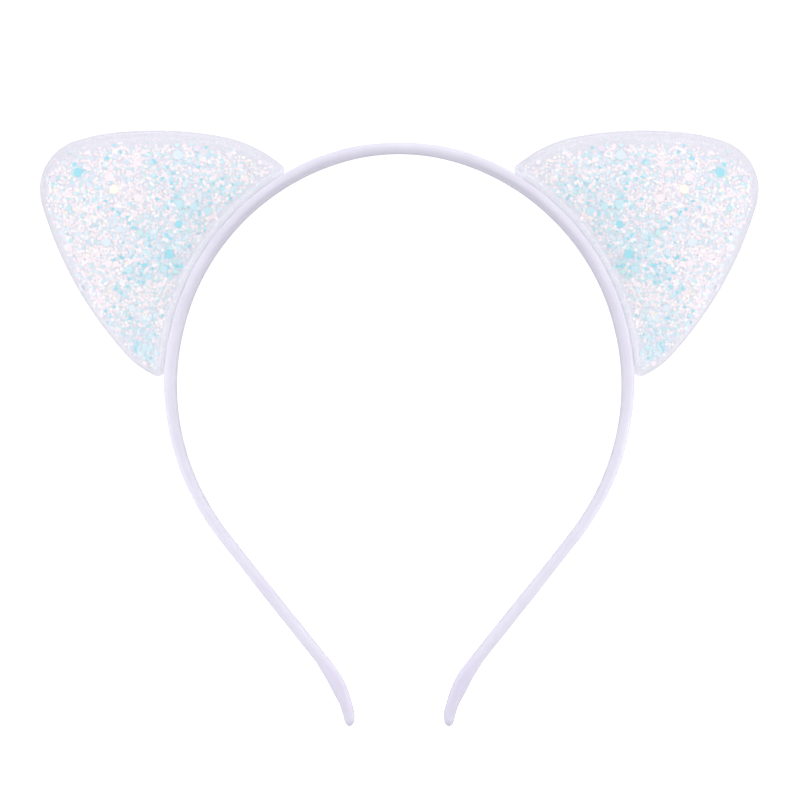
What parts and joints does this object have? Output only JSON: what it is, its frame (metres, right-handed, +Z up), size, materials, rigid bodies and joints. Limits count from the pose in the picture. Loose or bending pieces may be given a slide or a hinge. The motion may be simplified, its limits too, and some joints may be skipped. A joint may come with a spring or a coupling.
{
  "type": "animal ears headband",
  "caption": "Satin-wrapped flexible headband with padded cat-style glitter ears glued to its outer edge; its arms spring apart to grip the head.",
  "frame": {"origin": "middle of the crown's inner face, on the lining, where the band sits on top of the head", "axes": "+Z up out of the head, +X to the viewer's right when the front of the ears faces the viewer, -Y towards the viewer (the front); the band and both ears lie about the plane Y = 0; nodes called left are on the -X side"},
  "size_m": [0.1978, 0.0088, 0.1635],
  "materials": {
    "core_plastic": "matte",
    "satin": "satin",
    "lining_ribbon": "satin",
    "glitter_fabric": "gloss",
    "backing_cloth": "matte",
    "pad_foam": "matte",
    "hot_glue": "gloss"
  },
  "bodies": {
    "crown": {"core_crown": "core_plastic", "satin_crown": "satin", "lining_crown": "lining_ribbon"},
    "left_arm": {"core_left_arm": "core_plastic", "satin_left_arm": "satin", "lining_left_arm": "lining_ribbon", "end_fold_left": "satin", "ear_front_left": "glitter_fabric", "ear_back_left": "backing_cloth", "ear_foam_left": "pad_foam", "ear_glue_left": "hot_glue"},
    "right_arm": {"core_right_arm": "core_plastic", "satin_right_arm": "satin", "lining_right_arm": "lining_ribbon", "end_fold_right": "satin", "ear_front_right": "glitter_fabric", "ear_back_right": "backing_cloth", "ear_foam_right": "pad_foam", "ear_glue_right": "hot_glue"}
  },
  "joints": [
    {"name": "left_arm_flex", "type": "hinge", "parent": "crown", "child": "left_arm", "pos_m": [-0.01699, 0, -0.00116], "axis": [0, 1, 0], "range_deg": [-4, 12], "stiffness_Nm_per_rad": 0.45},
    {"name": "right_arm_flex", "type": "hinge", "parent": "crown", "child": "right_arm", "pos_m": [0.01699, 0, -0.00116], "axis": [0, -1, 0], "range_deg": [-4, 12], "stiffness_Nm_per_rad": 0.45}
  ]
}
